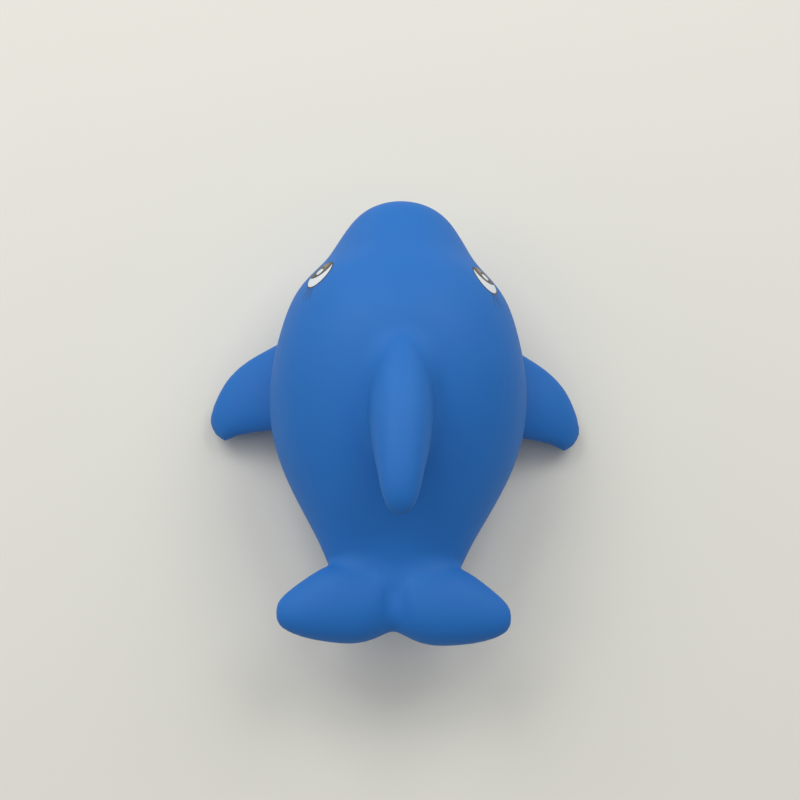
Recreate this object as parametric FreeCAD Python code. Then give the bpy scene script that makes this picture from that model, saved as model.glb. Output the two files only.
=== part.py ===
import FreeCAD, Part
import math
import os

V = FreeCAD.Vector

# Squeaky bath toy in the form of a dolphin: a hollow soft vinyl shell with a
# press-in squeaker in its belly and printed eyes. Millimetres. +Y is the nose,
# +X the toy's right side, +Z up, and the flat belly rests on Z = 0. The origin
# is the middle of the footprint.

# ---------------------------------------------------------------- shell
WALL = 1.8                      # thickness of the vinyl skin
LEAST_HOLLOW = 0.6              # a fin is hollow where this much air fits in it
TIP_ROUNDING = 0.5              # size of a fin's closing ring against its last ring

# The body is a skin drawn over upright oval rings. The first lengths run
# forward from the belly ring to the nose, the others back to the tail.
BELLY_Y = 4.0
SHOULDER_FORWARD = 17.0
CHEEK_FORWARD = 13.5
BROW_FORWARD = 8.5
SNOUT_FORWARD = 11.5
LIP_FORWARD = 10.0
NOSE_FORWARD = 0.4
LOIN_BACK = 19.5
RUMP_BACK = 19.5
STOCK_BACK = 10.5
TAIL_BACK = 12.0
TAIL_END_BACK = 1.0

TAIL_HALF_WIDTH = 15.5
TAIL_CROWN = 32.8
TAIL_KEEL = 22.0
STOCK_HALF_WIDTH = 19.4
STOCK_CROWN = 35.5
STOCK_KEEL = 17.0
RUMP_HALF_WIDTH = 25.5
RUMP_CROWN = 42.0
RUMP_KEEL = 9.5
LOIN_HALF_WIDTH = 36.5
LOIN_CROWN = 51.0
LOIN_KEEL = -1.5
BELLY_HALF_WIDTH = 39.0
BELLY_CROWN = 57.5
BELLY_KEEL = -3.5
SHOULDER_HALF_WIDTH = 36.0
SHOULDER_CROWN = 58.0
SHOULDER_KEEL = -3.5
CHEEK_HALF_WIDTH = 32.3
CHEEK_CROWN = 54.0
CHEEK_KEEL = 0.0
BROW_HALF_WIDTH = 23.1
BROW_CROWN = 47.5
BROW_KEEL = 7.0
SNOUT_HALF_WIDTH = 18.5
SNOUT_CROWN = 42.0
SNOUT_KEEL = 11.5
LIP_HALF_WIDTH = 11.0
LIP_CROWN = 37.0
LIP_KEEL = 17.0

# ---------------------------------------------------------------- flippers
# Rings from the buried root to the tip. Each has its step outward, its step
# along the body (minus is back), its step down, half chord and half thickness.
FLIPPER_ROOT_DEPTH = 23.0       # how far the first ring is buried in the side
FLIPPER_ROOT_Y = 14.0
FLIPPER_ROOT_Z = 22.0
FLIPPER_ROOT_CHORD = 17.0
FLIPPER_ROOT_THICK = 5.5
FLIPPER_ARMPIT_OUT = 11.0
FLIPPER_ARMPIT_SWEEP = -2.0
FLIPPER_ARMPIT_DROP = 4.0
FLIPPER_ARMPIT_CHORD = 16.2
FLIPPER_ARMPIT_THICK = 5.5
FLIPPER_ARM_OUT = 8.4
FLIPPER_ARM_SWEEP = -2.5
FLIPPER_ARM_DROP = 5.0
FLIPPER_ARM_CHORD = 13.9
FLIPPER_ARM_THICK = 5.0
FLIPPER_BLADE_OUT = 14.9
FLIPPER_BLADE_SWEEP = -3.6
FLIPPER_BLADE_DROP = 4.5
FLIPPER_BLADE_CHORD = 10.7
FLIPPER_BLADE_THICK = 4.2
FLIPPER_TIP_OUT = 4.5
FLIPPER_TIP_SWEEP = -6.5
FLIPPER_TIP_DROP = 3.0
FLIPPER_TIP_CHORD = 6.8
FLIPPER_TIP_THICK = 3.0
FLIPPER_END_OUT = 1.1
FLIPPER_END_SWEEP = -1.8
FLIPPER_END_DROP = 1.0
FLIPPER_END_CHORD = 3.4
FLIPPER_END_THICK = 1.5
FLIPPER_CAP_OUT = 0.7           # closing point against the last ring
FLIPPER_CAP_SWEEP = -1.1
FLIPPER_CHORD_LEAN = 0.43       # each chord leans out this much more than the last
FLIPPER_THICK_LEAN = 1.2        # outward lean of the thickness of every ring

# ---------------------------------------------------------------- flukes
# Rings stand across the tail, from its middle groove out to each tip.
FLUKE_AHEAD_OF_TAIL = 1.7       # middle of the groove ring against the body's last ring
FLUKE_GROOVE_Z = 29.0
FLUKE_GROOVE_CHORD = 10.5
FLUKE_GROOVE_THICK = 2.6
FLUKE_CLEFT_OUT = 2.8
FLUKE_CLEFT_SWEEP = -0.8
FLUKE_CLEFT_RISE = 0.2
FLUKE_CLEFT_CHORD = 11.0
FLUKE_CLEFT_THICK = 6.4
FLUKE_LOBE_OUT = 6.2
FLUKE_LOBE_SWEEP = -2.0
FLUKE_LOBE_RISE = 0.3
FLUKE_LOBE_CHORD = 12.0
FLUKE_LOBE_THICK = 7.2
FLUKE_BLADE_OUT = 9.0
FLUKE_BLADE_SWEEP = -0.4
FLUKE_BLADE_RISE = 0.5
FLUKE_BLADE_CHORD = 11.2
FLUKE_BLADE_THICK = 6.8
FLUKE_TIP_OUT = 7.5
FLUKE_TIP_SWEEP = -2.0
FLUKE_TIP_RISE = 0.0
FLUKE_TIP_CHORD = 8.0
FLUKE_TIP_THICK = 5.2
FLUKE_END_OUT = 6.0
FLUKE_END_SWEEP = -1.2
FLUKE_END_RISE = 0.0
FLUKE_END_CHORD = 4.4
FLUKE_END_THICK = 2.8
FLUKE_END_CAP = 1.2             # how far the closing point stands out of the last ring

# ---------------------------------------------------------------- dorsal fin
# Each ring runs from a point of the leading edge to a point of the trailing
# edge, told as steps along the side profile from the ring below it.
DORSAL_LEAD_Y = 20.0
DORSAL_TRAIL_Y = -24.0
DORSAL_ROOT_DEPTH = 17.5        # how far the first ring is buried below the crown
DORSAL_ROOT_WIDTH = 10.0
DORSAL_RIDGE_LEAD_BACK = 3.5
DORSAL_RIDGE_LEAD_RISE = 15.5
DORSAL_RIDGE_TRAIL_BACK = 1.0
DORSAL_RIDGE_TRAIL_RISE = 8.0
DORSAL_RIDGE_WIDTH = 9.4
DORSAL_FLANK_LEAD_BACK = 11.5
DORSAL_FLANK_LEAD_RISE = 6.0
DORSAL_FLANK_TRAIL_BACK = 2.5
DORSAL_FLANK_TRAIL_RISE = 4.0
DORSAL_FLANK_WIDTH = 8.8
DORSAL_BLADE_LEAD_BACK = 13.0
DORSAL_BLADE_LEAD_RISE = 3.8
DORSAL_BLADE_TRAIL_BACK = 3.0
DORSAL_BLADE_TRAIL_RISE = 3.0
DORSAL_BLADE_WIDTH = 8.0
DORSAL_HOOK_LEAD_BACK = 13.0
DORSAL_HOOK_LEAD_RISE = 2.2
DORSAL_HOOK_TRAIL_BACK = 3.5
DORSAL_HOOK_TRAIL_RISE = 3.0
DORSAL_HOOK_WIDTH = 6.3
DORSAL_TIP_LEAD_BACK = 13.5
DORSAL_TIP_LEAD_RISE = -0.8
DORSAL_TIP_TRAIL_BACK = 6.0
DORSAL_TIP_TRAIL_RISE = 2.5
DORSAL_TIP_WIDTH = 4.7
DORSAL_END_BACK = 3.0           # closing point behind the middle of the last ring
DORSAL_END_DROP = 0.6

# ---------------------------------------------------------------- squeaker
SQUEAKER_Y = 6.0
COLLAR_WALL = 4.4               # vinyl round the plug's barrel
COLLAR_HEIGHT = 6.5
FLANGE_RADIUS = 11.0
FLANGE_THICKNESS = 1.0
FLANGE_SET_BACK = 0.3           # the flange sits this far above the floor
FLANGE_CLEARANCE = 0.1
BARREL_RADIUS = 8.0
BARREL_CLEARANCE = 0.05
BARREL_STAND_OUT = 3.2          # barrel beyond the top of the collar
BEAD_HEIGHT = 1.6               # snap bead that grips behind the collar
BEAD_PROUD = 0.9
BEAD_CLEARANCE = 0.1
PLUG_FLOOR = 1.6
OUTLET_RADIUS = 1.5

# Reed set: a half-round block with an air groove, a half-round wedge and a
# film reed that the wedge holds over the groove.
REED_SET_RADIUS = 4.0
REED_SET_CLEARANCE = 0.05
BLOCK_LENGTH = 13.0
WEDGE_LENGTH = 5.5
GROOVE_WIDTH = 2.2
GROOVE_DEPTH = 2.0
GROOVE_LIP = 1.4                # closed end of the groove at the block's top
REED_THICKNESS = 0.2
REED_WIDTH = 3.4
REED_LENGTH = 11.6
REED_RISE = 0.5                 # lower end of the reed above the plug's floor
REED_CLEARANCE = 0.12           # air each side of the film in its slot
LAY_SLOPE = 3.5                 # degrees that the block's face falls away from the reed

# ---------------------------------------------------------------- eyes
EYE_Y = 34.2
EYE_ROLL = 34.0                 # degrees above level, seen along the body
EYE_HALF_LENGTH = 5.0
EYE_HALF_HEIGHT = 4.0
EYE_PITCH = 12.0                # degrees that the front of the eye is turned down
IRIS_RADIUS = 3.8
IRIS_FORWARD = 2.7
IRIS_DOWN = 1.7
IRIS_RIM = 0.5                  # black ring round the brown
PUPIL_RADIUS = 2.1
PUPIL_BACK = 1.2                # from the middle of the iris
GLINT_HALF_LENGTH = 1.3
GLINT_HALF_HEIGHT = 1.2
GLINT_BACK = 1.8                # from the middle of the iris
GLINT_UP = 1.2
LINE_WIDTH = 0.45
LASH_LENGTH = 4.2
LASH_WIDTH = 0.5
LASH_COUNT = 3
LASH_FIRST = 166.0              # degrees round the eye from its front
LASH_STEP = 13.0
INK = 0.12                      # thickness of the printed film
INK_CLEARANCE = 0.03            # between the film and the vinyl that it is printed on
INK_REACH = 4.0                 # depth over which the print meets the curved cheek

# ---------------------------------------------------------------- skins
RING_POINT_COUNT = 12
CUT_MARGIN = 1.0                # how far a cutting block stands out beyond what it cuts


def skin(first, rings, last):
    """Closed smooth solid over rings of control points, closed to a point at each end."""
    degree = 3
    count = len(rings[0])
    net = [[first] * count] + rings + [[last] * count]
    spans = len(net) - degree
    along = list(range(spans + 1))
    along_mults = [degree + 1] + [1] * (spans - 1) + [degree + 1]
    around = list(range(count + 1))
    around_mults = [1] * (count + 1)
    surface = Part.BSplineSurface()
    surface.buildFromPolesMultsKnots(
        net, along_mults, around_mults, along, around, False, True, degree, degree)
    solid = Part.Solid(Part.Shell([surface.toShape()]))
    if solid.Volume < 0:
        solid.reverse()
    return solid


def oval(centre, half_a, half_b):
    """Control points of the smooth oval whose half axes are half_a and half_b."""
    swell = 3.0 / (2.0 + math.cos(2.0 * math.pi / RING_POINT_COUNT))
    points = []
    for index in range(RING_POINT_COUNT):
        angle = 2.0 * math.pi * index / RING_POINT_COUNT
        across = half_a * (swell * math.cos(angle))
        upright = half_b * (swell * math.sin(angle))
        points.append(centre + across + upright)
    return points


def body_stations():
    """(y, half width, crown, keel) of every body ring, from the tail to the nose."""
    loin_y = BELLY_Y - LOIN_BACK
    rump_y = loin_y - RUMP_BACK
    stock_y = rump_y - STOCK_BACK
    tail_y = stock_y - TAIL_BACK
    shoulder_y = BELLY_Y + SHOULDER_FORWARD
    cheek_y = shoulder_y + CHEEK_FORWARD
    brow_y = cheek_y + BROW_FORWARD
    snout_y = brow_y + SNOUT_FORWARD
    lip_y = snout_y + LIP_FORWARD
    return [
        (tail_y, TAIL_HALF_WIDTH, TAIL_CROWN, TAIL_KEEL),
        (stock_y, STOCK_HALF_WIDTH, STOCK_CROWN, STOCK_KEEL),
        (rump_y, RUMP_HALF_WIDTH, RUMP_CROWN, RUMP_KEEL),
        (loin_y, LOIN_HALF_WIDTH, LOIN_CROWN, LOIN_KEEL),
        (BELLY_Y, BELLY_HALF_WIDTH, BELLY_CROWN, BELLY_KEEL),
        (shoulder_y, SHOULDER_HALF_WIDTH, SHOULDER_CROWN, SHOULDER_KEEL),
        (cheek_y, CHEEK_HALF_WIDTH, CHEEK_CROWN, CHEEK_KEEL),
        (brow_y, BROW_HALF_WIDTH, BROW_CROWN, BROW_KEEL),
        (snout_y, SNOUT_HALF_WIDTH, SNOUT_CROWN, SNOUT_KEEL),
        (lip_y, LIP_HALF_WIDTH, LIP_CROWN, LIP_KEEL),
    ]


def body_form(outset):
    """The body without fins, its surface moved outward by outset (inward if it is negative)."""
    stations = body_stations()
    tail_end_y = stations[0][0] - TAIL_END_BACK
    nose_y = stations[-1][0] + NOSE_FORWARD
    middle_y = (tail_end_y + nose_y) / 2.0
    half_length = (nose_y - tail_end_y) / 2.0
    stretch = (half_length + outset) / half_length
    rings = []
    for y, half_width, crown, keel in stations:
        centre = V(0, middle_y + (y - middle_y) * stretch, (crown + keel) / 2.0)
        half_height = (crown - keel) / 2.0
        rings.append(oval(centre, V(half_width + outset, 0, 0), V(0, 0, half_height + outset)))
    tail_end = V(0, middle_y + (tail_end_y - middle_y) * stretch, (TAIL_CROWN + TAIL_KEEL) / 2.0)
    nose = V(0, middle_y + (nose_y - middle_y) * stretch, (LIP_CROWN + LIP_KEEL) / 2.0)
    return skin(tail_end, rings, nose)


def fin_rings(sections, inset):
    """Rings of a fin; an inset fin keeps only the rings that still hold air."""
    rings = []
    for centre, chord, thick in sections:
        air = thick.Length - inset
        if inset > 0 and air < LEAST_HOLLOW:
            break
        rings.append(oval(centre, chord * (1.0 - inset / chord.Length), thick * (air / thick.Length)))
    return rings


def closing_ring(section, end):
    """A smaller ring at a fin's closing point, which rounds its tip."""
    centre, chord, thick = section
    return oval(end, chord * TIP_ROUNDING, thick * TIP_ROUNDING)


def fin_form(sections, end, inset):
    """One fin from its buried root to its closing point, or the hollow inside it."""
    rings = fin_rings(sections, inset)
    if inset == 0:
        rings.append(closing_ring(sections[-1], end))
    else:
        end = sections[min(len(rings), len(sections) - 1)][0]
    return skin(sections[0][0], rings, end)


def mirrored(shape):
    """The same shape on the other side of the toy."""
    return shape.mirror(V(0, 0, 0), V(1, 0, 0))


def flipper_sections():
    """The rings of the right flipper as centre, half chord, half thickness, and its closing point."""
    steps = [
        (BELLY_HALF_WIDTH - FLIPPER_ROOT_DEPTH, FLIPPER_ROOT_Y, -FLIPPER_ROOT_Z,
         FLIPPER_ROOT_CHORD, FLIPPER_ROOT_THICK),
        (FLIPPER_ARMPIT_OUT, FLIPPER_ARMPIT_SWEEP, FLIPPER_ARMPIT_DROP,
         FLIPPER_ARMPIT_CHORD, FLIPPER_ARMPIT_THICK),
        (FLIPPER_ARM_OUT, FLIPPER_ARM_SWEEP, FLIPPER_ARM_DROP, FLIPPER_ARM_CHORD, FLIPPER_ARM_THICK),
        (FLIPPER_BLADE_OUT, FLIPPER_BLADE_SWEEP, FLIPPER_BLADE_DROP,
         FLIPPER_BLADE_CHORD, FLIPPER_BLADE_THICK),
        (FLIPPER_TIP_OUT, FLIPPER_TIP_SWEEP, FLIPPER_TIP_DROP, FLIPPER_TIP_CHORD, FLIPPER_TIP_THICK),
        (FLIPPER_END_OUT, FLIPPER_END_SWEEP, FLIPPER_END_DROP, FLIPPER_END_CHORD, FLIPPER_END_THICK),
    ]
    centre = V(0, 0, 0)
    sections = []
    for index, (out, sweep, drop, chord, thick) in enumerate(steps):
        centre = centre + V(out, sweep, -drop)
        lean = FLIPPER_CHORD_LEAN * index
        sections.append((centre, V(lean, chord, 0), V(FLIPPER_THICK_LEAN, 0, thick)))
    return sections, centre + V(FLIPPER_CAP_OUT, FLIPPER_CAP_SWEEP, 0)


def fluke_sections():
    """Rings of both flukes in one run, from the left tip across the groove to the right tip."""
    groove_y = body_stations()[0][0] + FLUKE_AHEAD_OF_TAIL
    steps = [
        (0.0, groove_y, FLUKE_GROOVE_Z, FLUKE_GROOVE_CHORD, FLUKE_GROOVE_THICK),
        (FLUKE_CLEFT_OUT, FLUKE_CLEFT_SWEEP, FLUKE_CLEFT_RISE, FLUKE_CLEFT_CHORD, FLUKE_CLEFT_THICK),
        (FLUKE_LOBE_OUT, FLUKE_LOBE_SWEEP, FLUKE_LOBE_RISE, FLUKE_LOBE_CHORD, FLUKE_LOBE_THICK),
        (FLUKE_BLADE_OUT, FLUKE_BLADE_SWEEP, FLUKE_BLADE_RISE, FLUKE_BLADE_CHORD, FLUKE_BLADE_THICK),
        (FLUKE_TIP_OUT, FLUKE_TIP_SWEEP, FLUKE_TIP_RISE, FLUKE_TIP_CHORD, FLUKE_TIP_THICK),
        (FLUKE_END_OUT, FLUKE_END_SWEEP, FLUKE_END_RISE, FLUKE_END_CHORD, FLUKE_END_THICK),
    ]
    centre = V(0, 0, 0)
    right = []
    for out, sweep, rise, chord, thick in steps:
        centre = centre + V(out, sweep, rise)
        right.append((centre, V(0, chord, 0), V(0, 0, thick)))
    left = [(V(-centre.x, centre.y, centre.z), chord, thick) for centre, chord, thick in right[:0:-1]]
    return left + right


def fluke_form(inset):
    """Both flukes as one form, or the hollow inside them."""
    sections = fluke_sections()
    if inset > 0:
        sections = [section for section in sections if section[2].Length - inset >= LEAST_HOLLOW]
    rings = fin_rings(sections, inset)
    cap = V(FLUKE_END_CAP - inset, 0, 0)
    left_end = sections[0][0] - cap
    right_end = sections[-1][0] + cap
    if inset == 0:
        rings = [closing_ring(sections[0], left_end)] + rings + [closing_ring(sections[-1], right_end)]
    return skin(left_end, rings, right_end)


def dorsal_sections():
    """The rings of the dorsal fin as centre, half chord, half width, and its closing point."""
    steps = [
        (DORSAL_RIDGE_LEAD_BACK, DORSAL_RIDGE_LEAD_RISE,
         DORSAL_RIDGE_TRAIL_BACK, DORSAL_RIDGE_TRAIL_RISE, DORSAL_RIDGE_WIDTH),
        (DORSAL_FLANK_LEAD_BACK, DORSAL_FLANK_LEAD_RISE,
         DORSAL_FLANK_TRAIL_BACK, DORSAL_FLANK_TRAIL_RISE, DORSAL_FLANK_WIDTH),
        (DORSAL_BLADE_LEAD_BACK, DORSAL_BLADE_LEAD_RISE,
         DORSAL_BLADE_TRAIL_BACK, DORSAL_BLADE_TRAIL_RISE, DORSAL_BLADE_WIDTH),
        (DORSAL_HOOK_LEAD_BACK, DORSAL_HOOK_LEAD_RISE,
         DORSAL_HOOK_TRAIL_BACK, DORSAL_HOOK_TRAIL_RISE, DORSAL_HOOK_WIDTH),
        (DORSAL_TIP_LEAD_BACK, DORSAL_TIP_LEAD_RISE,
         DORSAL_TIP_TRAIL_BACK, DORSAL_TIP_TRAIL_RISE, DORSAL_TIP_WIDTH),
    ]
    lead = V(0, DORSAL_LEAD_Y, BELLY_CROWN - DORSAL_ROOT_DEPTH)
    trail = V(0, DORSAL_TRAIL_Y, BELLY_CROWN - DORSAL_ROOT_DEPTH)
    sections = [((lead + trail) * 0.5, (lead - trail) * 0.5, V(DORSAL_ROOT_WIDTH, 0, 0))]
    for lead_back, lead_rise, trail_back, trail_rise, width in steps:
        lead = lead + V(0, -lead_back, lead_rise)
        trail = trail + V(0, -trail_back, trail_rise)
        sections.append(((lead + trail) * 0.5, (lead - trail) * 0.5, V(width, 0, 0)))
    end = sections[-1][0] - V(0, DORSAL_END_BACK, DORSAL_END_DROP)
    return sections, end


def toy_form(inset):
    """The whole toy as a solid form, or the air inside it."""
    form = body_form(-inset)
    flipper = fin_form(*flipper_sections(), inset)
    dorsal = fin_form(*dorsal_sections(), inset)
    for part in (flipper, mirrored(flipper), fluke_form(inset), dorsal):
        form = form.fuse(part)
    return above(form, inset)


def above(shape, height):
    """The part of a shape that lies above a level plane."""
    box = shape.BoundBox
    box.enlarge(CUT_MARGIN)
    depth = height - box.ZMin
    return shape.cut(Part.makeBox(box.XLength, box.YLength, depth, V(box.XMin, box.YMin, box.ZMin)))


def post(radius, low, high):
    """A round post on the squeaker's axis."""
    return Part.makeCylinder(radius, high - low, V(0, SQUEAKER_Y, low))


# ---------------------------------------------------------------- pieces
SEAT_Z = FLANGE_SET_BACK + FLANGE_THICKNESS
BARREL_TOP = COLLAR_HEIGHT + BARREL_STAND_OUT
REED_FLOOR = FLANGE_SET_BACK + PLUG_FLOOR
SLOT_HALF = REED_THICKNESS / 2.0 + REED_CLEARANCE


def body_shell():
    """The one-piece hollow vinyl skin with the collar that grips the squeaker."""
    collar = post(BARREL_RADIUS + COLLAR_WALL, 0.0, COLLAR_HEIGHT)
    shell = toy_form(0.0).cut(toy_form(WALL)).fuse(collar)
    shell = shell.cut(post(BARREL_RADIUS + BARREL_CLEARANCE, 0.0, COLLAR_HEIGHT))
    return shell.cut(post(FLANGE_RADIUS + FLANGE_CLEARANCE, 0.0, SEAT_Z))


def squeaker_plug():
    """The rigid plug: flange, barrel with snap bead, reed bore and air outlet."""
    bead_low = COLLAR_HEIGHT + BEAD_CLEARANCE
    bead = Part.makeCone(
        BARREL_RADIUS + BEAD_PROUD, BARREL_RADIUS, BEAD_HEIGHT, V(0, SQUEAKER_Y, bead_low))
    plug = post(FLANGE_RADIUS, FLANGE_SET_BACK, SEAT_Z).fuse(post(BARREL_RADIUS, SEAT_Z, BARREL_TOP))
    plug = plug.fuse(bead)
    plug = plug.cut(post(REED_SET_RADIUS + REED_SET_CLEARANCE, REED_FLOOR, BARREL_TOP))
    return plug.cut(post(OUTLET_RADIUS, FLANGE_SET_BACK, REED_FLOOR))


def half_post(length, toward_nose):
    """Half of the reed set's round, on one side of the reed's slot."""
    size = 2.0 * REED_SET_RADIUS
    low_y = SQUEAKER_Y + SLOT_HALF if toward_nose else SQUEAKER_Y - SLOT_HALF - size
    side = Part.makeBox(2.0 * size, size, length, V(-size, low_y, REED_FLOOR))
    return post(REED_SET_RADIUS, REED_FLOOR, REED_FLOOR + length).common(side)


def reed_block():
    """The half-round block with its air groove and its sloping lay."""
    block = half_post(BLOCK_LENGTH, False)
    groove_y = SQUEAKER_Y - SLOT_HALF - GROOVE_DEPTH
    groove = Part.makeBox(
        GROOVE_WIDTH, GROOVE_DEPTH + REED_SET_RADIUS, BLOCK_LENGTH - GROOVE_LIP,
        V(-GROOVE_WIDTH / 2.0, groove_y, REED_FLOOR))
    lay_low = REED_FLOOR + WEDGE_LENGTH
    lay_high = REED_FLOOR + BLOCK_LENGTH
    fall = (lay_high - lay_low) * math.tan(math.radians(LAY_SLOPE))
    face_y = SQUEAKER_Y - SLOT_HALF
    lay = Part.makePolygon([
        V(-REED_SET_RADIUS, face_y, lay_low), V(-REED_SET_RADIUS, face_y, lay_high),
        V(-REED_SET_RADIUS, face_y - fall, lay_high), V(-REED_SET_RADIUS, face_y, lay_low)])
    slope = Part.Face(lay).extrude(V(2.0 * REED_SET_RADIUS, 0, 0))
    return block.cut(groove).cut(slope)


def reed():
    """The thin film that sounds."""
    return Part.makeBox(
        REED_WIDTH, REED_THICKNESS, REED_LENGTH,
        V(-REED_WIDTH / 2.0, SQUEAKER_Y - REED_THICKNESS / 2.0, REED_FLOOR + REED_RISE))


# ---------------------------------------------------------------- printed eyes
def eye_plane():
    """Placement of the right eye: X forward along the cheek, Y up it, Z out of it."""
    body = body_form(0.0)
    mid_height = (CHEEK_CROWN + CHEEK_KEEL) / 2.0
    roll = math.radians(EYE_ROLL)
    inside = V(0, EYE_Y, mid_height)
    outside = inside + V(math.cos(roll), 0, math.sin(roll)) * (2.0 * CHEEK_HALF_WIDTH)
    ray = Part.makeLine(inside, outside).common(body)
    point = max((vertex.Point for vertex in ray.Vertexes), key=lambda place: place.x)
    face = body.Faces[0]
    normal = face.normalAt(*face.Surface.parameter(point))
    if normal.x < 0:
        normal = normal * -1.0
    forward = V(0, 0, 1).cross(normal).normalize()
    if forward.y < 0:
        forward = forward * -1.0
    up = normal.cross(forward)
    if up.z < 0:
        up = up * -1.0
    pitch = math.radians(EYE_PITCH)
    ahead = forward * math.cos(pitch) - up * math.sin(pitch)
    upward = up * math.cos(pitch) + forward * math.sin(pitch)
    return point, ahead, upward, normal


def spot(plane, forward, up):
    """A point of the eye's flat drawing, placed on the cheek."""
    point, ahead, upward, normal = plane
    return point + ahead * forward + upward * up


def round_spot(plane, forward, up, radius):
    """A disc of the eye's drawing."""
    circle = Part.Circle(spot(plane, forward, up), plane[3], radius)
    return Part.Face(Part.Wire(circle.toShape()))


def oval_spot(plane, forward, up, half_length, half_height):
    """An oval of the eye's drawing."""
    front = spot(plane, forward + half_length, up)
    top = spot(plane, forward, up + half_height)
    major, minor = (front, top) if half_length >= half_height else (top, front)
    ellipse = Part.Ellipse(major, minor, spot(plane, forward, up))
    return Part.Face(Part.Wire(ellipse.toShape()))


def lash(plane, angle):
    """One tapering lash that leaves the outline at an angle round the eye."""
    turn = math.radians(angle)
    root_forward = EYE_HALF_LENGTH * math.cos(turn)
    root_up = EYE_HALF_HEIGHT * math.sin(turn)
    along = V(math.cos(turn), math.sin(turn), 0)
    side = V(-along.y, along.x, 0) * (LASH_WIDTH / 2.0)
    root = V(root_forward, root_up, 0)
    tip = root + along * (LASH_LENGTH + LINE_WIDTH)
    corners = [root + side, tip, root - side, root + side]
    return Part.Face(Part.makePolygon([spot(plane, corner.x, corner.y) for corner in corners]))


def eye_drawing(plane):
    """The flat faces of each ink of one eye: white, brown and black."""
    ball = oval_spot(plane, 0, 0, EYE_HALF_LENGTH, EYE_HALF_HEIGHT)
    outline = oval_spot(plane, 0, 0, EYE_HALF_LENGTH + LINE_WIDTH, EYE_HALF_HEIGHT + LINE_WIDTH)
    iris = round_spot(plane, IRIS_FORWARD, -IRIS_DOWN, IRIS_RADIUS)
    rim = round_spot(plane, IRIS_FORWARD, -IRIS_DOWN, IRIS_RADIUS + IRIS_RIM)
    pupil = round_spot(plane, IRIS_FORWARD - PUPIL_BACK, -IRIS_DOWN, PUPIL_RADIUS)
    glint = oval_spot(
        plane, IRIS_FORWARD - GLINT_BACK, GLINT_UP - IRIS_DOWN, GLINT_HALF_LENGTH, GLINT_HALF_HEIGHT)
    open_white = ball.cut(rim)
    brown = ball.common(iris).cut(pupil).cut(glint)
    black = outline
    for index in range(LASH_COUNT):
        black = black.fuse(lash(plane, LASH_FIRST + LASH_STEP * index))
    black = black.removeSplitter().cut(open_white).cut(brown).cut(glint)
    return {"white": open_white.fuse(glint), "iris": brown, "black": black}


def through_cheek(drawing, normal):
    """The block that a flat drawing sweeps straight through the cheek's surface."""
    block = drawing.copy()
    block.translate(normal * -INK_REACH)
    return block.extrude(normal * (2.0 * INK_REACH))


def eye_films():
    """The film of each ink of the right eye, lying on the curved cheek."""
    plane = eye_plane()
    normal = plane[3]
    blank = round_spot(plane, 0, 0, EYE_HALF_LENGTH + LINE_WIDTH + 2.0 * LASH_LENGTH)
    outside = body_form(INK_CLEARANCE + INK)
    coat = through_cheek(blank, normal).common(outside).cut(body_form(INK_CLEARANCE))
    films = {}
    for ink, drawing in eye_drawing(plane).items():
        films[ink] = coat.common(through_cheek(drawing.removeSplitter(), normal))
    return films


# ---------------------------------------------------------------- assembly
def toy_pieces():
    """Every piece by name, on the toy's right and left."""
    pieces = {
        "body_shell": body_shell(),
        "squeaker_plug": squeaker_plug(),
        "reed_block": reed_block(),
        "reed_wedge": half_post(WEDGE_LENGTH, True),
        "reed": reed(),
    }
    for ink, film in eye_films().items():
        pieces["right_eye_" + ink] = film
        pieces["left_eye_" + ink] = mirrored(film)
    return pieces


def main():
    """Centre the toy over the origin and write one file for each piece."""
    os.makedirs("parts", exist_ok=True)
    pieces = toy_pieces()
    box = pieces["body_shell"].optimalBoundingBox()
    to_middle = V(0, -(box.YMin + box.YMax) / 2.0, 0)
    for name, shape in pieces.items():
        shape.translate(to_middle)
        shape.exportStep("parts/" + name + ".step")
        print(name, shape.isValid(), len(shape.Solids), round(shape.Volume, 3))
    print("moved along Y by", round(to_middle.y, 4), "mm; size", box.XLength, box.YLength, box.ZLength)


main()
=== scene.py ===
"""A squeaky bath toy: a hollow blue vinyl dolphin with printed eyes and a press-in squeaker."""

import logging
import math
from dataclasses import dataclass, field
from enum import Enum

import bmesh
import bpy
from mathutils import Matrix, Vector
from mathutils.bvhtree import BVHTree
from mathutils.kdtree import KDTree


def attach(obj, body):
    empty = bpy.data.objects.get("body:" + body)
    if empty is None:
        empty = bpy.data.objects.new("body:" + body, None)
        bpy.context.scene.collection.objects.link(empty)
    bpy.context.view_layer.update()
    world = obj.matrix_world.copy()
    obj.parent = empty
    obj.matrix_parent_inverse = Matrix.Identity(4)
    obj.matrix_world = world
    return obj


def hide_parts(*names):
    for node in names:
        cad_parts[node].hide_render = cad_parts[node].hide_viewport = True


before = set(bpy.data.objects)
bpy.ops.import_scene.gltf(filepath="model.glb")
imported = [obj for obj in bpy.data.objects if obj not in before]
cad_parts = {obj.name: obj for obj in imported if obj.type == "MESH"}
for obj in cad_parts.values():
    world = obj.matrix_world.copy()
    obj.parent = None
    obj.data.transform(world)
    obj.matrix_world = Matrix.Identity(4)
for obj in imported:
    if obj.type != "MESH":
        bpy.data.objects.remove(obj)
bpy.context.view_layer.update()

LOG = logging.getLogger("bath_toy")
MM = 0.001
SEAM = 1e-7
SQUEAKER_Y = 8.707 * MM
Colour = tuple[float, float, float, float]


class Side(Enum):
    """The toy's two sides, with the sign of their X."""

    RIGHT = 1
    LEFT = -1


class Layer(Enum):
    """The printed films of an eye, with the coats from the skin to the film's face."""

    OUTLINE = 1
    WHITE = 2
    IRIS_RIM = 3
    IRIS = 4
    PUPIL = 5
    GLINT = 6


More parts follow.
